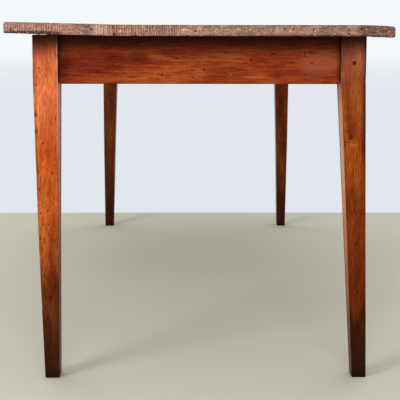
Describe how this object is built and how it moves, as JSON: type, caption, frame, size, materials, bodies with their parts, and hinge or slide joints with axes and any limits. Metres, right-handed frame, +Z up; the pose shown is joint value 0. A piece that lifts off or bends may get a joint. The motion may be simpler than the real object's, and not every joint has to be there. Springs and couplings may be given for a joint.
{
  "type": "farmhouse table",
  "caption": "Long plank-topped dining table with a pegged mortise-and-tenon frame and slender square legs that taper below the aprons.",
  "frame": {"origin": "on the floor, under the middle of the top", "axes": "+X across the table to the right seen from its front end, +Y along the table away from the front end, +Z up"},
  "size_m": [0.785, 1.6, 0.7571],
  "materials": {
    "leg_wood": "old wax, reddish brown, satin",
    "apron_wood": "old wax, dark red brown, satin",
    "top_wood": "worn and scrubbed, grey brown, matt",
    "inner_wood": "bare, unfinished",
    "peg_wood": "end grain, dark with wax",
    "iron": "hand-forged, dark"
  },
  "bodies": {
    "root": {"leg_front_left": "leg_wood", "leg_front_right": "leg_wood", "leg_rear_left": "leg_wood", "leg_rear_right": "leg_wood", "end_apron_front": "apron_wood", "end_apron_rear": "apron_wood", "side_apron_left": "apron_wood", "side_apron_right": "apron_wood", "top_board_left": "top_wood", "top_board_mid_left": "top_wood", "top_board_mid_right": "top_wood", "top_board_right": "top_wood", "tongue_left": "inner_wood", "tongue_middle": "inner_wood", "tongue_right": "inner_wood", "cross_bearer_front": "inner_wood", "cross_bearer_middle": "inner_wood", "cross_bearer_rear": "inner_wood", "end_joint_pegs": "peg_wood", "side_joint_pegs": "peg_wood", "leg_head_nails": "iron", "end_apron_nails": "iron", "side_apron_nails": "iron", "bearer_nails": "iron"}
  },
  "joints": []
}
